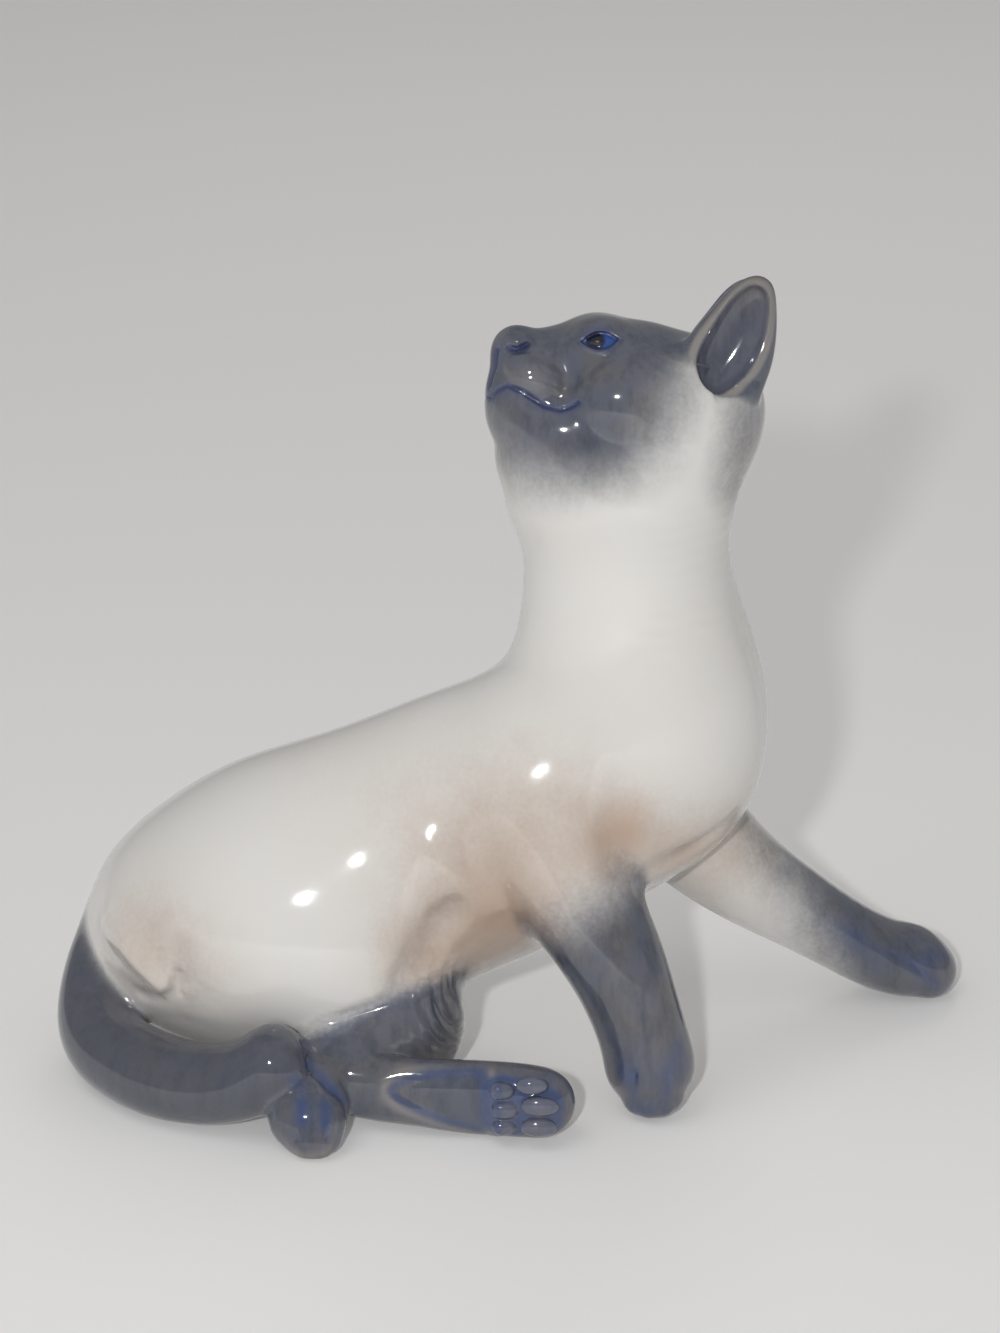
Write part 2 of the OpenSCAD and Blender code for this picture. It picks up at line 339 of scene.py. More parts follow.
# Lines on the face in head millimetres: (x, z) seen from the side, (y, z) from the front, or (x, y, z).
MOUTH = [(-36.4, -1.2), (-35, 0.4), (-33.4, 1.2), (-30.8, 0.1), (-28.2, -1.6), (-25.6, -3.2), (-22.8, -4.0),
         (-20.6, -3.4), (-19.2, -2.5)]
PHILTRUM = [(0, 8.8), (0, 1.2)]
# The eye from the side: its middle (x, z), half its length and height, slant in degrees, and surroundings.
EYE = (-14.2, 10.5)
EYE_HALF = (3.8, 1.9)
EYE_SLANT = -4
EYE_AROUND = (9, 7)
# How far the muzzle's middle is bent to the near side.
MUZZLE_BEND = -4.4
NOSTRIL = [(-32.8, 9.2), (-31, 8.8), (-29, 9.8)]
NOSE_TOP = [(-33.4, 11.2), (-31, 11), (-28.6, 11.6)]
WHISKER_ROWS = [[(-32, z + 0.4), (-27, z - 0.8), (-22, z - 3)] for z in (1.5, 3.5, 5.5)]
TEAR_LINE = [(-20.6, -9.9, 7.3), (-19.8, -10.6, 4.6), (-19, -12.2, 2.2)]

# Creases pressed into the clay: stations [x, y, z, strength], depth, width. A depth below zero is a fold.
CREASES = [
    ([(27, -25, 84, 0), (25.5, -28, 75, 0.6), (24.8, -29, 68, 1), (26, -29.5, 61, 0.8),
      (29, -28.5, 55, 0)], 2.0, 4.2),
    ([(-8, -27, 52, 0), (-12.5, -28.5, 46, 0.8), (-17.5, -31, 38.5, 1), (-22, -33, 32, 0.5)], 2.6, 3.8),
    ([(-46, -42, 20, 1), (-34, -35, 24, 1), (-25, -33.5, 28, 1), (-17, -30, 30.5, 0.8),
      (-9, -24, 31, 0.3)], 1.0, 2.1),
    ([(52, -8, 66, 0.2), (46, -16, 62, 1), (38, -22, 57, 1), (31, -27, 53, 0.6)], 1.3, 2.8),
    ([(-6, -28, 78, 0), (-4, -29, 64, 1), (-2, -28, 53, 1), (3, -26, 43, 0.6)], 1.5, 6.5),
    ([(-89.5, -13.7, 37, 0.3), (-83.5, -20.5, 35, 0.9), (-78.5, -25, 31, 1),
      (-75.5, -26.8, 27.5, 0.7)], -3.2, 3.6),
    ([(-71.5, -27.2, 31, 0.5), (-72.6, -27.4, 27, 1), (-75.5, -27, 23.2, 1), (-81, -21, 22, 0.7)], 1.8, 1.7),
    ([(-76, -20, 44, 0), (-70, -26, 38, 0.8), (-67, -28, 30, 0.6)], 1.0, 4.0),
    ([(46, -14.2, 162.6, 0.6), (47.5, -13.4, 162.8, 1), (50.8, -11.7, 163.2, 1),
      (54, -9.2, 164.5, 0.6)], 1.0, 1.0),
    ([(-43.5, -43.5, 19, 0.6), (-40.4, -45.5, 16.9, 1), (-37, -47.4, 14.3, 1), (-33.8, -48, 10.5, 1),
      (-33.4, -48.7, 6, 0.8)], 1.3, 1.2),
    ([(-24, -26, 72, 0), (-15, -28, 62, 0.8), (-9, -29, 54, 1), (-2, -28, 47, 0.6)], -1.0, 4.0),
    ([(53, -7, 120, 0), (55, -6, 104, 1), (56, -6, 88, 1), (55, -8, 74, 0.3)], 0.9, 4.0),
]
TOE_GROOVES = [
    ([(30.4, -38, 20, 0), (29.8, -41, 14, 1), (29.2, -42, 5, 1)], 0.6, 1.1),
    ([(36, -38, 20, 0), (36.6, -41, 14, 1), (37, -42, 5, 1)], 0.6, 1.1),
    ([(86, 12.5, 17, 0), (95, 11.5, 14, 1), (102, 12.5, 7, 1)], 0.5, 1.1),
    ([(88, 17, 18, 0), (98, 17.5, 15.5, 1), (105, 18.5, 8, 1)], 0.5, 1.1),
    ([(88, 23, 18, 0), (98, 24, 15.5, 1), (104.5, 25.5, 8, 1)], 0.5, 1.1),
    ([(-43.6, -44, 16, 0.3), (-43.6, -49, 12, 1), (-43.8, -55, 6, 1)], 0.7, 1.3),
    ([(-38.6, -44, 16, 0.3), (-38.2, -49, 12, 1), (-38, -55, 6, 1)], 0.7, 1.3),
    ([(10, -51, 14, 0.6), (14, -51, 14.4, 1), (19, -47, 15, 1)], 0.6, 1.0),
    ([(12, -52, 8.8, 0.6), (15, -51.5, 8.7, 1), (20, -48, 8.6, 1)], 0.6, 1.0),
    ([(10, -51, 3.6, 0.6), (14, -50.5, 3.2, 1), (18, -48, 3, 1)], 0.5, 1.0),
]
# The sole's pads: x, z, half length, half height.
SOLE_PADS = [(0.4, 14.7, 2.7, 1.9), (1.2, 10, 2.8, 2.1), (1.0, 5.6, 2.5, 1.8),
             (6.9, 16.6, 3.5, 2.0), (8.7, 11.6, 4.2, 2.4), (8.5, 6.3, 4.0, 2.2)]
# Where the sole's hollow comes to its point (x, z), and the plane that the sole lies in.
SOLE_HOLLOW = (-24.5, 12.2)
SOLE_PLANE = 50.4
SOLE_SLOPE = 0.167
# Brushed tufts lie round this place.
FUR_AT = (-12.5, -27, 23)
FUR_REACH = 6.5
# Toes and sole lie below this height, so points above it skip them.
PAW_TOP = 22
# The neck's faint ripples fade in and out between these heights and from the middle to the nape.
RIPPLE_START = (92, 104)
RIPPLE_END = (146, 136)
RIPPLE_BACK = (26, 38)
RIPPLE_DEPTH = 0.035


def sole_face(p):
    """How far in front of the sole's own plane a point lies; the sole faces the viewer."""
    return -(p[:, 1] + SOLE_SLOPE * (p[:, 0] - 2) + SOLE_PLANE)


def sole_hollow(p):
    """Above zero inside the wedge between heel and pads, growing inward."""
    u = p[:, 0] - SOLE_HOLLOW[0]
    w = p[:, 2] - SOLE_HOLLOW[1] + 0.09 * u
    side = (u - w * w / 3) / np.sqrt(1 + (0.67 * w) ** 2)
    return melted(side, -2.8 - p[:, 0], 3)


def on_the_sole(f, p):
    """One on the sole's own face, falling to zero round its edge."""
    return smoothstep(-5, -2.5, sole_face(p)) * smoothstep(1.5, 0.5, f["hind_leg_left"])


def lines(p, rows):
    """The sum of creases at the points, leaving out those that lie far off."""
    low, high = p.min(0), p.max(0)
    total = np.zeros(len(p), p.dtype)
    for stations, depth, width in rows:
        s = np.array(stations, float)[:, :3]
        if (s.min(0) - 3 * width > high).any() or (s.max(0) + 3 * width < low).any():
            continue
        far, strength = along(stations, p, True)
        total += depth * strength * bell(far, width)
    return total


def fur(p):
    """Brushed tufts at the end of the knee: stripes from -1 to 1 and where they lie."""
    d = p - np.array(FUR_AT)
    across = 0.92 * d[:, 0] + 0.4 * d[:, 2] - 0.03 * d[:, 2] ** 2
    return np.sin(across * 2.4), bell(np.linalg.norm(d * np.array([0.9, 0.6, 0.8]), axis=1), FUR_REACH)


def along(points, q, with_strength=False):
    """How far the points q lie from a line through the given points, and the line's strength there."""
    best, strength = np.full(len(q), 1e3), np.ones(len(q))
    pts = np.array(points, float)
    size = q.shape[1]
    for a, b in zip(pts[:-1], pts[1:]):
        leg = b[:size] - a[:size]
        t = np.clip(((q - a[:size]) @ leg) / (leg @ leg), 0, 1)
        far = np.linalg.norm(q - a[:size] - t[:, None] * leg, axis=1)
        if with_strength:
            strength = np.where(far < best, a[size] + t * (b[size] - a[size]), strength)
        best = np.minimum(best, far)
    return (best, strength) if with_strength else best


def bell(x, width):
    """One at zero, falling off on both sides."""
    return np.exp(-(x / width) ** 2)


def eye_distance(h):
    """Below zero inside the almond of the eye, looking square at the side of the head."""
    a = math.radians(EYE_SLANT)
    x, z = h[:, 0] - EYE[0], h[:, 2] - EYE[1]
    u, v = x * math.cos(a) - z * math.sin(a), x * math.sin(a) + z * math.cos(a)
    lid = EYE_HALF[1] * np.maximum(1 - (u / EYE_HALF[0]) ** 2, -1.5)
    return np.abs(v - 0.25) - lid * 0.95


def folded(h):
    """Head points with the far half laid over the near half; the muzzle bends a little to the near side."""
    middle = MUZZLE_BEND * smoothstep(-18, -35, h[:, 0])
    return np.stack([h[:, 0], -np.abs(h[:, 1] - middle), h[:, 2]], 1)


def nose_lines(near):
    """Nearness to the line below the nose and to the nostril."""
    under = bell(along(PHILTRUM, near[:, [1, 2]]), 0.8) * smoothstep(-31, -33, near[:, 0])
    nostril = bell(along(NOSTRIL, near[:, [0, 2]]), 0.65) * smoothstep(-1.2, -2.2, near[:, 1])
    return under, nostril


def eye_side(h):
    """One on the sides of the face round the eyes, zero elsewhere."""
    beside = (np.abs(h[:, 0] - EYE[0]) < EYE_AROUND[0]) * (np.abs(h[:, 2] - EYE[1]) < EYE_AROUND[1])
    return smoothstep(3.5, 6.0, np.abs(h[:, 1])) * beside


def face_relief(h):
    """What the face adds to the field: above zero it cuts in, below zero it stands out."""
    if h[:, 0].min() > -4 or np.linalg.norm(h.mean(0)) > 60:
        return 0.0
    front = smoothstep(-12, -18, h[:, 0])
    relief = 0.55 * bell(along(MOUTH, h[:, [0, 2]]), 0.6) * front
    near = folded(h)
    under, nostril = nose_lines(near)
    relief += 0.6 * under + 0.9 * nostril
    relief += 0.2 * bell(along(TEAR_LINE, near), 1.3)
    relief -= 0.4 * bell(along(NOSE_TOP, near[:, [0, 2]]), 1.0) * front
    for row in WHISKER_ROWS:
        relief += 0.12 * bell(along(row, near[:, [0, 2]]), 0.5) * smoothstep(-2.5, -4, near[:, 1]) * front
    e = eye_distance(h)
    relief += eye_side(h) * (0.6 * smoothstep(0.35, -0.35, e) - 0.4 * bell(e - 0.7, 0.5)
                             - 0.5 * smoothstep(-0.3, -1.8, e))
    return relief


def toes(ball, heading, fan, reach, size=3.5, drop=2.6, height=4.2):
    """Four toes round the front of a paw, as blob rows; the outer two reach a little less far."""
    rows = []
    for k in (-1.5, -0.5, 0.5, 1.5):
        a = math.radians(heading + k * fan)
        out = reach - 0.35 * k * k
        place = [ball[0] + out * math.cos(a), ball[1] + out * math.sin(a), ball[2] - drop]
        rows.append(place + [size, size, height])
    return rows


def sole_pad_rows():
    """The pads as blobs that stand a little proud of the sole."""
    return [[x, -50.2 - SOLE_SLOPE * (x - 2), z, rx, 1.5, rz] for x, z, rx, rz in SOLE_PADS]


# Each form luted to the trunk in turn, with the fillet's reach in millimetres.
LUTING = (("haunch", 10), ("skull", 12), ("foreleg_right", 9), ("foreleg_left", 4),
          ("hind_leg_right", 4), ("hind_leg_left", 2), ("tail", 4))


class Cat:
    """All the forms, and the field that blends them."""

    def __init__(self):
        head = {"place": HEAD_PLACE, "turn": HEAD_TURN}
        skull = blobs(HEAD_SOLID, 1.3, **head)
        skull.offset = 1.1
        self.forms = Forms({
            "torso": limb(TORSO, (0, 1, 0), 1.6), "neck": limb(NECK, (0, 1, 0), 1.4),
            "haunch": chain(HAUNCH, 1.5), "far_hip": chain(FAR_HIP, 1.5),
            "shoulder_right": chain(SHOULDER_RIGHT, 1.2), "shoulder_left": blobs(SHOULDER_LEFT, 1.2),
            "foreleg_right": limb(FORELEG_RIGHT, (0, 1, 0), 0.7),
            "foreleg_left": limb(FORELEG_LEFT, (0, 1, 0), 0.7),
            "tail": limb(TAIL, (0, 0, 1), 0.6), "shank": blobs(refine(SHANK_RIGHT, 3).tolist(), 0.8),
            "sole_foot": chain(SOLE_FOOT, 0.6), "sole_pads": blobs(sole_pad_rows(), 0.3),
            "toes_right": blobs(toes((33.5, -32.4, 8.4), -82, 25, 6.4), 0.5),
            "toes_left": blobs(toes((96.4, 20.8, 8.4), 6, 26, 7.2, 3.8) + [PAW_LEFT], 1.6),
            "toes_hind": blobs(toes((-41, -49.4, 7), -90, 32, 4.6), 0.5),
            "skull": skull, "pads": blobs(WHISKER_PADS, 0.5, **head),
            "ear_left": chain(EAR, 0.5, **head), "ear_right": chain(mirrored(EAR), 0.5, **head),
            "bowl_left": chain(EAR_BOWL, 0.4, **head), "bowl_right": chain(mirrored(EAR_BOWL), 0.4, **head),
        })

    def parts(self, p):
        """Each casting's own field, before the creases are filled."""
        f = self.forms(p)
        trunk = melted(melted(f["torso"], f["neck"], 18), f["far_hip"], 12)
        trunk = melted(trunk, melted(f["shoulder_right"], f["shoulder_left"], 2), 14)
        sole = carved(f["sole_foot"], -sole_face(p), 1.6)
        return {
            "body": trunk, "haunch": f["haunch"], "skull": melted(f["skull"], f["pads"], 1.8),
            "foreleg_left": melted(f["foreleg_left"], f["toes_left"], 3.5),
            "foreleg_right": melted(f["foreleg_right"], f["toes_right"], 2.0),
            "hind_leg_left": melted(sole, f["sole_pads"], 0.7),
            "hind_leg_right": melted(f["shank"], f["toes_hind"], 2.0), "tail": f["tail"],
            "ear_left": f["ear_left"], "ear_right": f["ear_right"],
            "bowl_left": f["bowl_left"], "bowl_right": f["bowl_right"], "sole_pads": f["sole_pads"],
        }

    def blend(self, f):
        """The castings' fields luted into one, the ears bowled out last."""
        whole = f["body"]
        for casting, fillet in LUTING:
            whole = melted(whole, f[casting], fillet)
        for side in ("left", "right"):
            whole = melted(whole, f["ear_" + side], 4.5)
            whole = carved(whole, f["bowl_" + side], 1.6)
        return whole

    def __call__(self, p):
        return by_cell(self.field, p)

    def field(self, p):
        """Below zero inside the clay; fine modelling is added only near where it lies."""
        f = self.parts(p)
        whole = self.blend(f) + face_relief(figure_to_head(p)) + lines(p, CREASES)
        low, high = p.min(0), p.max(0)
        if low[2] < PAW_TOP:
            whole = whole + lines(p, TOE_GROOVES)
        if low[2] < PAW_TOP and low[0] < 22 and high[0] > -30 and low[1] < -40:
            inside = sole_hollow(p)
            hollow = 0.8 * smoothstep(-1.4, 3.2, inside) - 0.3 * bell(inside + 1.8, 1.4)
            whole = whole + on_the_sole(f, p) * hollow
        if low[2] < 34 and low[0] < 0 and high[0] > -26 and low[1] < -14:
            stripes, where = fur(p)
            whole = whole - 0.28 * stripes * where
        if high[2] > RIPPLE_START[0] and low[0] > 12:
            folds = smoothstep(*RIPPLE_START, p[:, 2]) * smoothstep(*RIPPLE_END, p[:, 2])
            folds = folds * smoothstep(*RIPPLE_BACK, p[:, 0])
            whole = whole + RIPPLE_DEPTH * folds * np.sin(1.75 * p[:, 2] + 0.5 * np.sin(0.4 * p[:, 0]))
        # The resting faces are ground flat.
        return carved(whole, p[:, 2] - FOOT_GRINDING, 1.0)


# ---------------------------------------------------------------- meshing the form

# Grid steps along each side of a block.
BLOCK = 8
# What the grid holds in blocks that the surface doesn't touch, below zero inside the clay.
DEEP = 9.0


def counted(counts):
    """Every whole-number place in a box of the given counts, one row each."""
    return np.ascontiguousarray(np.indices(tuple(counts)).reshape(3, -1).T)


def sample(field, low, high, pitch):
    """The field on a grid, worked out only in the blocks that the surface passes through."""
    blocks = np.ceil((high - low) / (pitch * BLOCK)).astype(int) + 1
    idx = counted(blocks)
    mid = (low + (idx * BLOCK + (BLOCK - 1) / 2) * pitch).astype(np.float32)
    coarse = field(mid)
    active = np.nonzero(np.abs(coarse) < pitch * BLOCK + 1.0)[0]
    flat = np.where(coarse[:, None] < 0, -DEEP, DEEP).astype(np.float32)
    grid = flat * np.ones((1, BLOCK ** 3), np.float32)
    step = counted((BLOCK,) * 3)
    p = (low + (idx[active][:, None, :] * BLOCK + step[None]) * pitch).reshape(-1, 3).astype(np.float32)
    grid[active] = field(p).reshape(len(active), -1)
    grid = grid.reshape(*blocks, BLOCK, BLOCK, BLOCK).transpose(0, 3, 1, 4, 2, 5)
    return np.ascontiguousarray(grid).reshape(*(blocks * BLOCK))


def surface_nets(grid, low, pitch):
    """Points and quads on the zero surface of a grid."""
    inside = grid < 0
    corners = [(i, j, k) for i in (0, 1) for j in (0, 1) for k in (0, 1)]
    n = np.array(grid.shape) - 1
    count = sum(inside[i:i + n[0], j:j + n[1], k:k + n[2]].astype(np.int8) for i, j, k in corners)
    cells = np.argwhere((count > 0) & (count < 8))
    number = np.full(tuple(n), -1, np.int64)
    number[tuple(cells.T)] = np.arange(len(cells))
    value = {c: grid[cells[:, 0] + c[0], cells[:, 1] + c[1], cells[:, 2] + c[2]] for c in corners}
    total, hits = np.zeros((len(cells), 3)), np.zeros(len(cells))
    for a in corners:
        for axis in range(3):
            if a[axis]:
                continue
            b = tuple(1 if m == axis else a[m] for m in range(3))
            cross = (value[a] < 0) != (value[b] < 0)
            t = value[a] / np.where(cross, value[a] - value[b], 1)
            at = np.array(a, float) + t[:, None] * (np.array(b) - np.array(a))
            total[cross] += at[cross]
            hits += cross
    points = low + (cells + total / hits[:, None]) * pitch
    quads = []
    for axis in range(3):
        u, v = (axis + 1) % 3, (axis + 2) % 3
        lower = [slice(1, -1)] * 3
        lower[axis] = slice(0, -1)
        upper = list(lower)
        upper[axis] = slice(1, None)
        change = inside[tuple(lower)] != inside[tuple(upper)]
        edge = np.argwhere(change)
        start = edge + np.array([0 if m == axis else 1 for m in range(3)])
        outward = inside[tuple(start.T)]
        ring = []
        for du, dv in ((-1, -1), (0, -1), (0, 0), (-1, 0)):
            c = start.copy()
            c[:, u] += du
            c[:, v] += dv
            ring.append(number[tuple(c.T)])
        ring = np.stack(ring, 1)
        ring[~outward] = ring[~outward][:, ::-1]
        quads.append(ring)
    return points, np.vstack(quads)


def gradient(field, p, step=0.05):
    """Central differences on a tetrahedron."""
    legs = np.array([[1, -1, -1], [-1, -1, 1], [-1, 1, -1], [1, 1, 1]], float)
    return sum(leg * field(p + leg * step)[:, None] for leg in legs) / (4 * step)


def onto(field, p, rounds=2, reach=1.0):
    """Moves points onto the zero surface."""
    for _ in range(rounds):
        g = gradient(field, p)
        move = -field(p)[:, None] * g / np.maximum((g * g).sum(1, keepdims=True), 0.05)
        length = np.linalg.norm(move, axis=1, keepdims=True)
        p = p + move * np.minimum(1, reach / np.maximum(length, 1e-9))
    return p


def relaxed(points, quads, share=0.5):
    """Evens out the mesh along its own edges."""
    total, hits = np.zeros_like(points), np.zeros(len(points))
    for a, b in ((0, 1), (1, 2), (2, 3), (3, 0)):
        for i, j in ((a, b), (b, a)):
            np.add.at(total, quads[:, i], points[quads[:, j]])
            np.add.at(hits, quads[:, i], 1)
    mean = total / np.maximum(hits, 1)[:, None]
    return points + share * (mean - points)


def cut(points, tris, level):
    """Keeps the part of a triangle mesh where level is below zero, cut along level's own zero line."""
    level = np.where(np.abs(level) < 1e-4, -1e-4, level)
    inside = level < 0
    count = inside[tris].sum(1)
    keep = tris[count == 3]
    new_points, edges, out = [], {}, [keep]

    def crossing(a, b):
        key = (min(a, b), max(a, b))
        if key not in edges:
            t = level[key[0]] / (level[key[0]] - level[key[1]])
            edges[key] = len(points) + len(new_points)
            new_points.append(points[key[0]] + t * (points[key[1]] - points[key[0]]))
        return edges[key]

    extra = []
    for tri in tris[(count == 1) | (count == 2)]:
        flags = inside[tri]
        one = int(np.argmax(flags)) if flags.sum() == 1 else int(np.argmin(flags))
        a, b, c = (int(tri[(one + k) % 3]) for k in range(3))
        ab, ac = crossing(a, b), crossing(a, c)
        if flags.sum() == 1:
            extra.append((a, ab, ac))
        else:
            extra += [(b, c, ac), (b, ac, ab)]
    if extra:
        out.append(np.array(extra))
    points = np.vstack([points, np.array(new_points)]) if new_points else points
    tris = np.vstack(out)
    used, tris = np.unique(tris, return_inverse=True)
    return points[used], tris.reshape(-1, 3)


def open_loops(tris):
    """The boundary of a triangle mesh, as closed rings of point numbers."""
    e = np.vstack([tris[:, [0, 1]], tris[:, [1, 2]], tris[:, [2, 0]]])
    have = set(map(tuple, e.tolist()))
    follow = {}
    for a, b in sorted(have):
        if (b, a) not in have:
            follow.setdefault(b, []).append(a)
    loops = []
    for start in sorted(follow):
        while follow[start]:
            loop, at = [], start
            while follow.get(at):
                loop.append(at)
                at = follow[at].pop()
            if len(loop) > 2:
                loops.append(loop)
    return loops


# ---------------------------------------------------------------- castings

CASTINGS = ("trunk", "head", "ear_left", "ear_right", "foreleg_left", "foreleg_right",
            "hind_leg_left", "hind_leg_right", "tail")
LIMBS = CASTINGS[2:]
GLAZE_OVERRUN = 6.0


def territory(f, p, casting):
    """Below zero where the surface belongs to this casting."""
    body = np.minimum(np.minimum(f["body"], f["haunch"]), f["skull"])
    if casting in LIMBS:
        others = [f[n] for n in LIMBS if n != casting] + [body]
        return f[casting] - np.minimum.reduce(others)
    limbs = np.minimum.reduce([f[n] for n in LIMBS])
    side = p[:, 2] - NECK_SEAM
    return np.maximum(body - limbs, side if casting == "trunk" else -side)


def casting_mesh(cat, casting, pitch):
    """The casting's outer surface, open at its seams: points and triangles."""
    def level_at(points):
        return by_cell(lambda p: territory(cat.parts(p), p, casting), points)

    low, high = (np.array(v) / MM / STRETCH + BASE_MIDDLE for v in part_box(casting))
    low, high = low - GLAZE_OVERRUN, high + GLAZE_OVERRUN
    points, quads = surface_nets(sample(cat, low, high, pitch), low, pitch)
    quads = quads[(level_at(points)[quads] < 2 * pitch).any(1)]
    used, quads = np.unique(quads, return_inverse=True)
    points, quads = points[used], quads.reshape(-1, 4)
    points = onto(cat, points, 1)
    for _ in range(2):
        points = relaxed(points, quads)
    points = onto(cat, points, 2)
    tris = np.vstack([quads[:, [0, 1, 2]], quads[:, [0, 2, 3]]])
    return cut(points, tris, level_at(points))


def deep_point(cat, p, depth=3.0, stride=0.6):
    """A point inside the clay, reached by going inward from p."""
    for _ in range(24):
        if cat(p[None])[0] < -depth:
            break
        p = p - stride * unit(gradient(cat, p[None], 0.4))[0]
    return p


def closed(cat, points, normals, tris):
    """Closes each seam ring with a fan, so that the casting is one closed solid."""
    corner_normals = [normals[tris].reshape(-1, 3)]
    faces, extra = [tris], []
    for loop in open_loops(tris):
        ring = np.array(loop)
        middle = deep_point(cat, points[ring].mean(0))
        if len(ring) > 3:
            extra.append(middle)
            number = len(points) + len(extra) - 1
            fan = np.array([(a, b, number) for a, b in zip(ring, np.roll(ring, -1))])
        else:
            fan = ring[None, :3]
        every = np.vstack([points, np.array(extra)]) if extra else points
        flat = np.cross(every[fan[:, 1]] - every[fan[:, 0]], every[fan[:, 2]] - every[fan[:, 0]])
        flat = flat / np.maximum(np.linalg.norm(flat, axis=1, keepdims=True), 1e-9)
        corner_normals.append(np.repeat(flat, 3, axis=0))
        faces.append(fan)
    if extra:
        points = np.vstack([points, np.array(extra)])
    return points, np.vstack(faces), np.vstack(corner_normals)


# ---------------------------------------------------------------- underglaze painting

# Soft spots of tan spray: centre, reach, strength.
BLUSH = [
    (-2, -28, 60, 13, 0.6), (26, -29, 66, 8, 0.95), (3, -27, 46, 11, 0.85), (-5, -24, 35, 13, 0.6),
    (-17, -31, 39, 8, 0.6), (-22, -24, 72, 15, 0.14), (48, -8, 58, 11, 0.5), (40, -20, 58, 9, 0.6),
    (-78, -22, 36, 11, 0.45), (6, -27, 84, 15, 0.12), (52, 6, 46, 11, 0.4), (-40, 20, 60, 20, 0.2),
    (12, -28, 70, 10, 0.25), (-66, -30, 34, 9, 0.2),
]
# Brush strokes of cobalt, and painted shade in grey: stations [x, y, z, strength], strength, width.
COBALT = [
    ([(-46, -42, 20, 1), (-34, -35.5, 24, 1), (-26, -33.5, 27.5, 0.8), (-17, -30, 30, 0.3)], 0.5, 2.0),
    ([(-42, -44.5, 18, 1), (-37.3, -47.1, 14.5, 1), (-34, -47.6, 10.5, 0.9)], 1.0, 1.2),
    ([(-43.2, -52.7, 13.3, 1), (-43.1, -55.1, 10.5, 1)], 1.0, 1.7),
    ([(-38.2, -52.5, 12.4, 1), (-38.1, -54.8, 9.3, 1)], 1.0, 1.5),
    ([(-46, -48.5, 17.5, 1), (-43.5, -50, 16, 0.8)], 0.8, 1.6),
    ([(27.5, -41, 18, 0.4), (28, -41, 13, 1)], 0.55, 2.4),
    ([(38.6, -38, 19, 1), (38.4, -40, 14, 0.6)], 0.6, 2.4),
    ([(33, -42, 5, 1), (29, -41, 3, 0.8)], 0.5, 2.2),
    ([(74, 7, 27, 0.5), (82, 9, 21, 1), (88, 10, 16, 0.7)], 0.5, 3.0),
    ([(100, 13, 13, 1), (104, 18, 12, 1)], 0.5, 2.4), ([(19, -49, 12, 1), (19, -49, 6, 1)], 0.5, 1.6),
    ([(-4, -47, 19.5, 0.4), (6, -48, 20.5, 1), (14, -48, 18.5, 1)], 0.45, 2.0),
]
# Painted shade: grey laid along the creases and round the fold at the tail's root, where shade falls.
CREASE_SHADE_STROKES = [
    ([(-8, -27, 51, 0), (-13, -28.5, 45, 1), (-18, -31, 38, 1), (-23, -33, 31, 0.6)], 0.25, 3.0),
    ([(25, -29, 66, 0.3), (27, -29.5, 59, 1), (31, -28, 51, 1)], 0.5, 2.4),
    ([(46, -16, 62, 0.5), (38, -22, 57, 1), (31, -27, 52, 1)], 0.35, 1.6),
    ([(-71, -27, 19, 0.8), (-62, -31, 15, 1), (-52, -35, 18, 0.5)], 0.3, 2.6),
    ([(-76, -22, 41, 0.2), (-70, -27, 35, 1), (-68.5, -28, 27, 0.8)], 0.16, 4.0),
    ([(-88, -12, 33, 0.6), (-84, -17, 27, 1), (-79, -22, 23, 1)], 0.35, 2.6),
]
# Where the glaze has drawn thin over an edge and shows pale.
RIM_STROKES = [
    ([(-48, -54, 6, 0.4), (-46, -56, 3.5, 1), (-42, -57, 2.4, 1), (-38, -56.5, 3.5, 1),
      (-36.4, -54, 8, 0.6)], 0.6, 1.3),
    ([(-20, -46, 17.6, 0), (-6, -47, 19.4, 1), (8, -48, 19.8, 0.6)], 0.4, 1.1),
]
# The grey of the knee ends at this height, given at places along x.
CREASE_TOP = ([-50, -45, -34, -25, -17, -9], [17, 20.5, 24, 28, 30.5, 31])
# Grey spray on the head, in head millimetres: centre, radii, where it is full and where it ends, strength.
HEAD_SPRAY = (
    ((-16, 0, 2), (29, 28, 27), 0.68, 1.2, 1.0),
    ((19, 0, -7), (16, 26, 22), 0.5, 1.15, 0.7),
    ((2, 0, 12), (27, 21, 13), 0.7, 1.25, 1.0),
)
# Painted highlight on the whisker pads: centre and radii in head millimetres.
WHISKER_PAD_HIGHLIGHT = ((-27, -6.5, 2.6), (6, 5, 3))


def ellipsoid_reach(h, centre, radii):
    """Zero at the centre of an ellipsoid and one on its surface."""
    return np.sqrt((((h - np.array(centre)) / np.array(radii)) ** 2).sum(1))


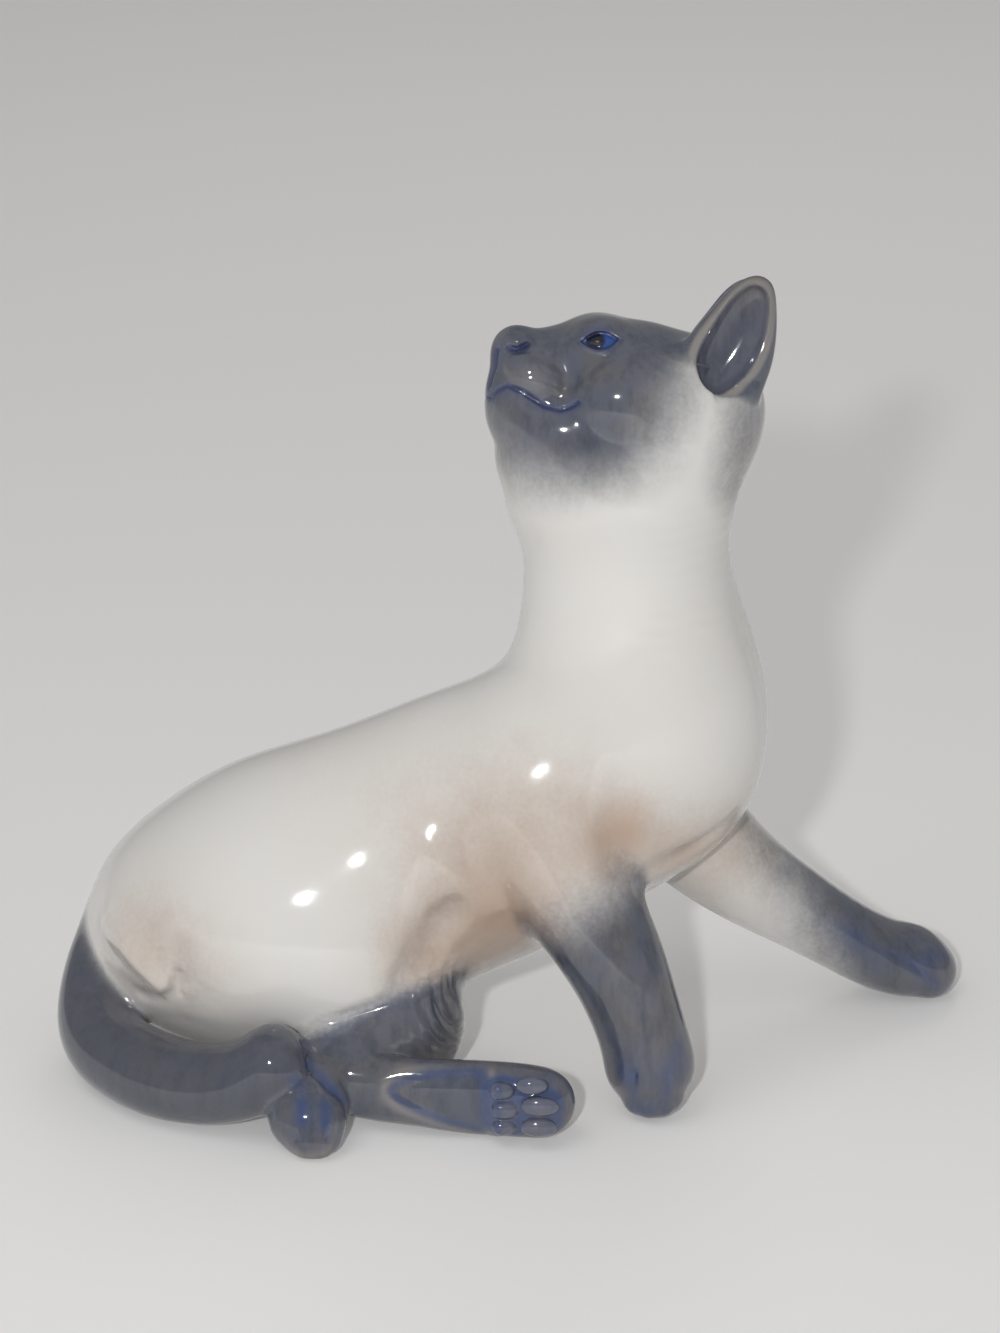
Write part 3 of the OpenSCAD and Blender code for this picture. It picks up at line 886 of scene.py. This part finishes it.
def smoke_mask(f, p, h):
    """Where the grey of the points was sprayed, with painted shade in grey along the creases."""
    on_head = smoothstep(10, 5, f["skull"])
    spots = [strength * (1 - smoothstep(full, end, ellipsoid_reach(h, centre, radii)))
             for centre, radii, full, end, strength in HEAD_SPRAY]
    smoke = on_head * np.maximum.reduce(spots)
    for side in ("left", "right"):
        smoke = np.maximum(smoke, smoothstep(2.0, 0.2, f["ear_" + side]))
    slope = p[:, 2] - 0.6 * (p[:, 0] - 15)
    smoke = np.maximum(smoke, smoothstep(4, 0.5, f["foreleg_right"]) * smoothstep(62, 38, slope))
    reach = p[:, 0] + 0.45 * (p[:, 2] - 22)
    smoke = np.maximum(smoke, smoothstep(3.5, 0.5, f["foreleg_left"]) * smoothstep(60, 84, reach))
    root = smoothstep(41, 28, p[:, 2] + 0.2 * p[:, 1])
    smoke = np.maximum(smoke, smoothstep(2.2, -0.2, f["tail"]) * root)
    below = smoothstep(2.2, -2.4, p[:, 2] - np.interp(p[:, 0], *CREASE_TOP))
    knee = below * smoothstep(-12, -18, p[:, 1])
    knee = knee * smoothstep(-4, -10, p[:, 0]) * smoothstep(-52, -45, p[:, 0])
    foot = smoothstep(2.4, 0.8, f["hind_leg_right"]) * smoothstep(-32, -38, p[:, 1])
    smoke = np.maximum(smoke, np.maximum(0.97 * knee, foot))
    smoke = np.maximum(smoke, smoothstep(1.5, 0.2, f["hind_leg_left"]))
    # Painted shade along the creases is laid in with the grey.
    return np.maximum(smoke, np.minimum(lines(p, CREASE_SHADE_STROKES), 1))


def painting(cat, p):
    """The painter's masks at each point, by name, with painted shade in the creases and a painted highlight
    on the whisker pads.
    """
    f = cat.parts(p)
    h = figure_to_head(p)
    near = folded(h)
    unluted = np.minimum.reduce([f[name] for name in ("body", "haunch", "skull") + LIMBS])
    # Painted shade: the grey is darkened where luting fills the creases between castings.
    pool = smoothstep(0.2, 2.2, unluted - cat.blend(f))
    smoke = smoke_mask(f, p, h)
    # The whole tail takes the darker grey as well.
    pool = np.maximum(0.7 * pool, 0.75 * smoothstep(1.5, 0.0, f["tail"]))
    blush = np.zeros(len(p))
    for x, y, z, r, strength in BLUSH:
        spot = 1.1 * strength * bell(np.linalg.norm(p - np.array([x, y, z]), axis=1), 1.25 * r)
        blush = blush + np.clip(spot, 0, 1) * (1 - blush)
    on_head = smoothstep(4, 0, f["skull"])
    front = smoothstep(-14, -18, h[:, 0])
    from_mouth = along(MOUTH, h[:, [0, 2]])
    mouth = bell(from_mouth, 0.55) * front
    under, nostril = nose_lines(near)
    ink = np.maximum.reduce([0.9 * mouth, 0.8 * under, nostril])
    e = eye_distance(h)
    side = eye_side(h) * on_head
    eye = smoothstep(0.15, -0.25, e) * side
    upper = 0.6 + 0.4 * (h[:, 2] > EYE[1])
    ink = on_head * np.maximum(ink, upper * bell(e + 0.05, 0.4) * side)
    pupil = eye * smoothstep(2.2, 1.7, np.hypot(h[:, 0] - EYE[0] + 1.0, h[:, 2] - EYE[1] - 0.3))
    cobalt = lines(p, COBALT) + 0.55 * lines(p, [(s, 1.0, 1.5) for s, _, _ in TOE_GROOVES])
    cobalt += on_head * (0.15 * bell(along(TEAR_LINE, near), 1.2) + 0.3 * bell(from_mouth, 1.5) * front
                         + 0.35 * side * bell(e - 0.4, 1.0))
    # Painted highlight: the whisker pads are lightened with the rim colour.
    whisker_pad_highlight = bell(ellipsoid_reach(near, *WHISKER_PAD_HIGHLIGHT), 1.0)
    rim = np.maximum(lines(p, RIM_STROKES), 0.45 * on_head * whisker_pad_highlight)
    if p[:, 2].min() < PAW_TOP:
        on_sole = on_the_sole(f, p)
        pads = f["sole_pads"]
        inside = sole_hollow(p)
        cobalt += on_sole * (1.2 * bell(pads - 0.9, 0.9) * smoothstep(-4, -2.4, p[:, 0])
                             + 0.7 * bell(inside - 0.8, 1.2))
        pale = np.maximum(0.75 * bell(inside + 0.9, 0.9), 0.9 * smoothstep(0.3, -0.3, pads))
        rim = np.maximum(rim, on_sole * pale)
    stripes, where = fur(p)
    fur_mark = smoothstep(-0.1, 0.9, stripes) * where
    thin = -11.1 - 0.195 * near[:, 2] - near[:, 1]
    for which in ("left", "right"):
        bowl = f["bowl_" + which]
        rim = np.maximum(rim, smoothstep(0.1, 0.5, bowl) * smoothstep(2.6, 1.5, bowl)
                         * smoothstep(1.0, 0.3, f["ear_" + which]) * smoothstep(-0.6, 1.2, thin))
    bare = smoothstep(FOOT_GRINDING + 0.35, FOOT_GRINDING + 0.1, p[:, 2])
    return {"smoke": smoke, "blush": blush, "ink": ink, "pool": pool, "cobalt": np.clip(cobalt, 0, 1),
            "fur": fur_mark, "rim": rim, "iris": eye, "pupil": pupil, "bare": bare}


# ---------------------------------------------------------------- materials

GLAZE_ROUGHNESS = 0.07
BARE_ROUGHNESS = 0.65
GLAZE_IOR = 1.52
COAT_WEIGHT = 0.6
COAT_ROUGHNESS = 0.03
BUMP_STRENGTH = 0.25
BUMP_DISTANCE = 0.0003
# How misty and how streaked each sprayed or brushed colour's edge is.
EDGES = {"smoke": (0.3, 0.18), "blush": (0.35, 0.1), "cobalt": (0.7, 0.3), "ink": (0.3, 0.2)}


def node(tree, kind, **settings):
    """A node with its inputs or its own settings given by name."""
    made = tree.nodes.new(kind)
    for name, value in settings.items():
        if name in made.inputs.keys():
            made.inputs[name].default_value = value
        else:
            setattr(made, name, value)
    return made


def feed(tree, socket, value):
    """Gives an input its value, or links it to another node's output."""
    if isinstance(value, bpy.types.NodeSocket):
        tree.links.new(value, socket)
    else:
        socket.default_value = value


def mix(tree, factor, a, b):
    """A mix of two colours; each may be a value or another node's output."""
    m = node(tree, "ShaderNodeMix", data_type="RGBA")
    for number, value in ((0, factor), (6, a), (7, b)):
        feed(tree, m.inputs[number], value)
    return m.outputs[2]


def math_node(tree, operation, a, b, clamp=False):
    """One sum of two numbers; each may be a value or another node's output."""
    m = node(tree, "ShaderNodeMath", operation=operation, use_clamp=clamp)
    feed(tree, m.inputs[0], a)
    feed(tree, m.inputs[1], b)
    return m.outputs[0]


def times(tree, a, b, clamp=False):
    return math_node(tree, "MULTIPLY", a, b, clamp)


def plus(tree, a, b, clamp=False):
    return math_node(tree, "ADD", a, b, clamp)


def noise(tree, place, scale, detail, roughness=0.5, middle=None):
    """Noise laid out from a place, less its middle value where one is given."""
    texture = node(tree, "ShaderNodeTexNoise", Scale=scale, Detail=detail, Roughness=roughness)
    tree.links.new(place, texture.inputs["Vector"])
    if middle is None:
        return texture.outputs["Fac"]
    return math_node(tree, "SUBTRACT", texture.outputs["Fac"], middle)


def squashed(tree, place, height):
    """A place with its height shrunk, so that noise laid out from it runs in upright streaks."""
    shrink = node(tree, "ShaderNodeVectorMath", operation="MULTIPLY")
    shrink.inputs[1].default_value = (1.0, 1.0, height)
    tree.links.new(place, shrink.inputs[0])
    return shrink.outputs[0]


def sockets(tree, inputs, outputs):
    """A group's own sockets; returns its input and output nodes."""
    for name, kind, default in inputs:
        tree.interface.new_socket(name, in_out="INPUT", socket_type=kind).default_value = default
    for name, kind in outputs:
        tree.interface.new_socket(name, in_out="OUTPUT", socket_type=kind)
    return tree.nodes.new("NodeGroupInput"), tree.nodes.new("NodeGroupOutput")


def airbrush_group():
    """Breaks up the edge of a sprayed mask with mist and with streaks of the brush."""
    tree = bpy.data.node_groups.new("Airbrush edge", "ShaderNodeTree")
    given, out = sockets(tree, [("Mask", "NodeSocketFloat", 0.0), ("Mist", "NodeSocketFloat", 0.3),
                                ("Streak", "NodeSocketFloat", 0.3)], [("Mask", "NodeSocketFloat")])
    place = node(tree, "ShaderNodeNewGeometry").outputs["Position"]
    mask = given.outputs["Mask"]
    mist = times(tree, noise(tree, place, 900.0, 4.0, 0.6, 0.5), given.outputs["Mist"])
    streaks = noise(tree, squashed(tree, place, 0.22), 420.0, 3.0, 0.6, 0.5)
    streak = times(tree, streaks, given.outputs["Streak"])
    cloud = times(tree, noise(tree, place, 150.0, 3.0, 0.55, 0.5), 0.35)
    # The edge is broken most where the spray is half strength.
    edge = times(tree, times(tree, mask, math_node(tree, "SUBTRACT", 1.0, mask)), 4.0)
    shift = times(tree, plus(tree, plus(tree, mist, streak), cloud), edge)
    total = plus(tree, mask, shift, clamp=True)
    tree.links.new(total, out.inputs["Mask"])
    return tree


def glaze_group():
    """The glaze's own surface: a soft ripple, fine orange peel, and grit where the clay is bare."""
    tree = bpy.data.node_groups.new("Glaze surface", "ShaderNodeTree")
    given, out = sockets(tree, [("Bare", "NodeSocketFloat", 0.0)],
                         [("Height", "NodeSocketFloat"), ("Roughness", "NodeSocketFloat")])
    place = node(tree, "ShaderNodeNewGeometry").outputs["Position"]
    bare = given.outputs["Bare"]
    ripple = noise(tree, place, 70.0, 1.0)
    height = plus(tree, ripple, times(tree, noise(tree, place, 600.0, 2.0), 0.12))
    height = plus(tree, height, times(tree, times(tree, noise(tree, place, 4000.0, 2.0), 0.5), bare))
    tree.links.new(height, out.inputs["Height"])
    rough = plus(tree, GLAZE_ROUGHNESS, times(tree, ripple, 0.05))
    rough = plus(tree, rough, times(tree, bare, BARE_ROUGHNESS))
    tree.links.new(rough, out.inputs["Roughness"])
    return tree


def porcelain(name, colours, groups):
    """Clear glaze over the underglaze painting; the masks come from the piece's own attributes."""
    material = bpy.data.materials.new(name)
    material.use_nodes = True
    tree = material.node_tree
    shader = tree.nodes["Principled BSDF"]

    def mask(which):
        """One of the masks painted on the piece."""
        return node(tree, "ShaderNodeAttribute", attribute_name=which).outputs["Fac"]

    def sprayed(which):
        """A painted mask with its edge broken up by the airbrush or brush."""
        g = node(tree, "ShaderNodeGroup", node_tree=groups["airbrush"])
        g.inputs["Mist"].default_value, g.inputs["Streak"].default_value = EDGES[which]
        tree.links.new(mask(which), g.inputs["Mask"])
        return g.outputs["Mask"]

    position = node(tree, "ShaderNodeNewGeometry").outputs["Position"]

    def drift(scale, low, gain):
        """Drifts across the surface, beginning where the noise passes low."""
        return times(tree, noise(tree, position, scale, 3.0, middle=low), gain, True)

    def coated(base, coats):
        """Lays each coat's colour over the base where its mask says."""
        for where, colour in coats:
            base = mix(tree, where, base, colours[colour])
        return base

    worn = noise(tree, squashed(tree, position, 0.3), 300.0, 4.0, 0.65, 0.45)
    # Painted shade: deep smoke darkens the luted creases and the tail.
    grey = coated(colours["smoke"], (
        (drift(60.0, 0.42, 2.2), "lilac"), (drift(95.0, 0.47, 2.6), "sepia"),
        (times(tree, worn, 2.4, True), "deep"), (times(tree, mask("pool"), 0.8), "deep")))
    colour = coated(colours["white"], ((drift(24.0, 0.45, 0.9), "cream"), (sprayed("blush"), "blush")))
    colour = coated(mix(tree, sprayed("smoke"), colour, grey), (
        (times(tree, mask("fur"), 0.6), "deep"), (times(tree, mask("rim"), 0.6), "rim"),
        (times(tree, sprayed("cobalt"), 0.85), "cobalt"), (mask("iris"), "iris"),
        (times(tree, sprayed("ink"), 0.85), "ink"), (mask("pupil"), "pupil"), (mask("bare"), "clay")))
    tree.links.new(colour, shader.inputs["Base Color"])
    surface = node(tree, "ShaderNodeGroup", node_tree=groups["glaze"])
    tree.links.new(mask("bare"), surface.inputs["Bare"])
    tree.links.new(surface.outputs["Roughness"], shader.inputs["Roughness"])
    bump = node(tree, "ShaderNodeBump", Strength=BUMP_STRENGTH, Distance=BUMP_DISTANCE)
    tree.links.new(surface.outputs["Height"], bump.inputs["Height"])
    tree.links.new(bump.outputs["Normal"], shader.inputs["Normal"])
    shader.inputs["IOR"].default_value = GLAZE_IOR
    shader.inputs["Coat Weight"].default_value = COAT_WEIGHT
    shader.inputs["Coat Roughness"].default_value = COAT_ROUGHNESS
    return material


# ---------------------------------------------------------------- making the pieces

_made = {}
GLAZE_COLOURS = ("white", "cream", "blush", "smoke", "lilac", "sepia", "deep", "cobalt", "ink", "iris",
                 "pupil", "rim", "clay")


def the_cat():
    """The one field that every casting is cut from."""
    if "cat" not in _made:
        _made["cat"] = Cat()
    return _made["cat"]


def glaze(settings):
    """The one glaze that every casting is dipped in."""
    if "glaze" not in _made:
        colours = {name: tuple(getattr(settings, name)) + (1.0,) for name in GLAZE_COLOURS}
        groups = {"airbrush": airbrush_group(), "glaze": glaze_group()}
        _made["glaze"] = porcelain("glazed_porcelain", colours, groups)
    return _made["glaze"]


def make_casting(context, casting, pitch):
    """One glazed casting in the frame, in place of the plain one of the same name."""
    cat = the_cat()
    points, tris = casting_mesh(cat, casting, pitch)
    normals = unit(gradient(cat, points))
    masks = by_cell(lambda p: painting(cat, p), points)
    points, faces, corner_normals = closed(cat, points, normals, tris)
    mesh = bpy.data.meshes.new(casting + "_glazed")
    mesh.from_pydata(to_frame(points).tolist(), [], faces.tolist())
    mesh.polygons.foreach_set("use_smooth", [True] * len(mesh.polygons))
    mesh.update()
    for name, values in masks.items():
        values = np.concatenate([values, np.full(len(points) - len(values), values.mean())])
        attribute = mesh.attributes.new(name, "FLOAT", "POINT")
        attribute.data.foreach_set("value", values.astype(np.float32))
    mesh.normals_split_custom_set(corner_normals.tolist())
    piece = bpy.data.objects.new(casting + "_glazed", mesh)
    context.scene.collection.objects.link(piece)
    mesh.materials.append(glaze(context.scene.porcelain_cat))
    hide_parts(casting)
    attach(piece, "root")


def pour(context, castings, pitch):
    """Makes castings at one of the mesh sizes in the settings; the whole work of an operator."""
    for casting in castings:
        make_casting(context, casting, getattr(context.scene.porcelain_cat, pitch))
    return {"FINISHED"}


def mesh_size(name, where, default, low, high):
    return bpy.props.FloatProperty(name=name, description="Mesh size on " + where + ", in millimetres",
                                   default=default, min=low, max=high)


def tint(name, description, default):
    return bpy.props.FloatVectorProperty(name=name, description=description, default=default,
                                         subtype="COLOR", min=0, max=1)


class CatSettings(bpy.types.PropertyGroup):
    """Mesh sizes, glaze colours and studio"""
    trunk_pitch: mesh_size("Trunk detail", "the trunk", 0.95, 0.5, 3)
    limb_pitch: mesh_size("Limb detail", "limbs and tail", 0.55, 0.3, 2)
    head_pitch: mesh_size("Head detail", "head and ears", 0.42, 0.2, 2)
    white: tint("White", "Body under clear glaze", (0.78, 0.765, 0.735))
    cream: tint("Cream", "Warmer drifts in the white", (0.77, 0.725, 0.665))
    blush: tint("Blush", "Tan spray in the hollows", (0.50, 0.365, 0.275))
    smoke: tint("Smoke", "Grey-blue of the points", (0.100, 0.111, 0.143))
    lilac: tint("Lilac", "Warmer grey in the points", (0.148, 0.140, 0.172))
    sepia: tint("Sepia", "Browner drifts in the points", (0.132, 0.118, 0.108))
    # Deep smoke also serves as painted shade in the luted creases and over the tail.
    deep: tint("Deep smoke", "Where the colour pools", (0.045, 0.052, 0.076))
    cobalt: tint("Cobalt wash", "Blue brushed between toes and pads", (0.045, 0.075, 0.19))
    ink: tint("Ink", "Cobalt brush lines", (0.02, 0.03, 0.13))
    iris: tint("Iris", "Cobalt of the eye", (0.03, 0.085, 0.30))
    pupil: tint("Pupil", "Dark of the eye", (0.006, 0.008, 0.02))
    # The rim colour also paints a highlight on the whisker pads.
    rim: tint("Rim", "Thin glaze on ear rims and pads", (0.36, 0.33, 0.29))
    clay: tint("Bare clay", "Unglazed ground faces", (0.62, 0.58, 0.52))
    floor: tint("Floor", "Colour of the studio floor", (0.80, 0.79, 0.78))
    floor_size: bpy.props.FloatProperty(name="Floor size", description="Width of the studio floor",
                                        default=24, min=4, subtype="DISTANCE", unit="LENGTH")
    key: bpy.props.FloatProperty(name="Key lamp", description="Power of the main lamp in watts",
                                 default=4.9, min=0)


class CAT_OT_trunk(bpy.types.Operator):
    """Trunk: belly, breast, haunches and neck up to the seam"""
    bl_idname = "cat.trunk"
    bl_label = "Trunk"

    def execute(self, context):
        return pour(context, ("trunk",), "trunk_pitch")


class CAT_OT_head(bpy.types.Operator):
    """Head, above the neck seam"""
    bl_idname = "cat.head"
    bl_label = "Head"

    def execute(self, context):
        return pour(context, ("head",), "head_pitch")


class CAT_OT_ears(bpy.types.Operator):
    """Both ears"""
    bl_idname = "cat.ears"
    bl_label = "Ears"

    def execute(self, context):
        return pour(context, ("ear_left", "ear_right"), "head_pitch")


class CAT_OT_forelegs(bpy.types.Operator):
    """Both forelegs with their paws"""
    bl_idname = "cat.forelegs"
    bl_label = "Forelegs"

    def execute(self, context):
        return pour(context, ("foreleg_left", "foreleg_right"), "limb_pitch")


class CAT_OT_hind_legs(bpy.types.Operator):
    """Both hind legs: the one that shows its sole, and the tucked one"""
    bl_idname = "cat.hind_legs"
    bl_label = "Hind legs"

    def execute(self, context):
        return pour(context, ("hind_leg_left", "hind_leg_right"), "limb_pitch")


class CAT_OT_tail(bpy.types.Operator):
    """The tail, curled round the haunch"""
    bl_idname = "cat.tail"
    bl_label = "Tail"

    def execute(self, context):
        return pour(context, ("tail",), "limb_pitch")


class CAT_OT_stage(bpy.types.Operator):
    """Camera, floor and lamps"""
    bl_idname = "cat.stage"
    bl_label = "Stage"

    def execute(self, context):
        make_stage(context, context.scene.porcelain_cat)
        return {"FINISHED"}


# ---------------------------------------------------------------- stage

# Camera: degrees above level, and distance, aim and lens in millimetres.
CAMERA_ELEVATION = 24.0
CAMERA_DISTANCE = 800.0
CAMERA_AIM = (0.0, 0.0, 94.0)
CAMERA_LENS = 129.6
SENSOR_WIDTH = 36.0
# Lamps: name, place and width in metres, power in watts. The glaze mirrors only the small key lamp.
LAMP_AIM = (0.0, 0.0, 0.09)
KEY_PLACE = (-0.14, -0.9, 0.56)
KEY_WIDTH = 0.05
SOFT_LAMPS = (
    ("overhead", (-0.5, -0.2, 1.2), 0.8, 2.0),
    ("side", (1.2, -0.35, 0.5), 0.7, 0.9),
    ("back", (0.2, 0.9, 0.9), 0.5, 1.2),
)
WORLD_STRENGTH = 0.28
FLOOR_GLOW = 0.12
FLOOR_GLOW_COLOUR = (1, 0.99, 0.98, 1)
FLOOR_ROUGHNESS = 0.7


def aimed(thing, at):
    """Turns a lamp or camera towards a place."""
    thing.rotation_euler = (Vector(at) - thing.location).to_track_quat("-Z", "Y").to_euler()


def make_camera(scene):
    aim = to_frame([CAMERA_AIM])[0]
    a = math.radians(CAMERA_ELEVATION)
    data = bpy.data.cameras.new("camera")
    data.sensor_fit = "HORIZONTAL"
    data.sensor_width = SENSOR_WIDTH
    data.lens = CAMERA_LENS
    data.clip_start = 0.01
    camera = bpy.data.objects.new("camera", data)
    camera.location = aim + np.array([0, -math.cos(a), math.sin(a)]) * CAMERA_DISTANCE * MM
    scene.collection.objects.link(camera)
    aimed(camera, aim)
    scene.camera = camera


def floor_material(colour):
    """A matt floor with a little light of its own, so that it stays pale far from the lamps.

    Only the camera and reflections see that light, so it puts none on the figure.
    """
    material = bpy.data.materials.new("studio_floor")
    material.use_nodes = True
    tree = material.node_tree
    shader = tree.nodes["Principled BSDF"]
    shader.inputs["Base Color"].default_value = tuple(colour) + (1.0,)
    shader.inputs["Roughness"].default_value = FLOOR_ROUGHNESS
    path = node(tree, "ShaderNodeLightPath")
    seen = math_node(tree, "MAXIMUM", path.outputs["Is Camera Ray"], path.outputs["Is Glossy Ray"])
    tree.links.new(times(tree, seen, FLOOR_GLOW), shader.inputs["Emission Strength"])
    shader.inputs["Emission Color"].default_value = FLOOR_GLOW_COLOUR
    return material


def make_floor(scene, settings):
    half = settings.floor_size / 2
    corners = [(-half, -half, 0), (half, -half, 0), (half, half, 0), (-half, half, 0)]
    mesh = bpy.data.meshes.new("floor")
    mesh.from_pydata(corners, [], [(0, 1, 2, 3)])
    floor = bpy.data.objects.new("floor", mesh)
    scene.collection.objects.link(floor)
    mesh.materials.append(floor_material(settings.floor))


def lamp(scene, name, place, size, power):
    data = bpy.data.lights.new(name, "AREA")
    data.shape = "DISK"
    data.size = size
    data.energy = power
    made = bpy.data.objects.new(name, data)
    made.location = place
    scene.collection.objects.link(made)
    aimed(made, LAMP_AIM)
    return made


def make_stage(context, settings):
    """The studio: camera, floor, lamps and a plain white world."""
    scene = context.scene
    make_camera(scene)
    make_floor(scene, settings)
    lamp(scene, "key", KEY_PLACE, KEY_WIDTH, settings.key)
    for name, place, size, power in SOFT_LAMPS:
        lamp(scene, name, place, size, power).visible_glossy = False
    world = bpy.data.worlds.new("studio")
    world.use_nodes = True
    background = world.node_tree.nodes["Background"]
    background.inputs["Color"].default_value = (1, 1, 1, 1)
    background.inputs["Strength"].default_value = WORLD_STRENGTH
    scene.world = world
    scene.view_settings.view_transform = "Standard"


# ---------------------------------------------------------------- panel and registering

class CAT_PT_panel(bpy.types.Panel):
    """Sizes, colours and steps of the porcelain cat"""
    bl_label = "Porcelain Cat"
    bl_idname = "CAT_PT_panel"
    bl_space_type = "VIEW_3D"
    bl_region_type = "UI"
    bl_category = "Porcelain Cat"

    def draw(self, context):
        settings = context.scene.porcelain_cat
        for name in settings.bl_rna.properties.keys():
            if name not in ("rna_type", "name"):
                self.layout.prop(settings, name)
        for step in STEPS:
            self.layout.operator(step.bl_idname)


STEPS = (CAT_OT_stage, CAT_OT_trunk, CAT_OT_head, CAT_OT_ears, CAT_OT_forelegs, CAT_OT_hind_legs,
         CAT_OT_tail)
CLASSES = (CatSettings,) + STEPS + (CAT_PT_panel,)


def register():
    for cls in CLASSES:
        bpy.utils.register_class(cls)
    bpy.types.Scene.porcelain_cat = bpy.props.PointerProperty(type=CatSettings)


def unregister():
    del bpy.types.Scene.porcelain_cat
    for cls in reversed(CLASSES):
        bpy.utils.unregister_class(cls)


def main():
    register()
    for step in STEPS:
        getattr(bpy.ops.cat, step.bl_idname.split(".")[1])()


if __name__ == "__main__":
    main()
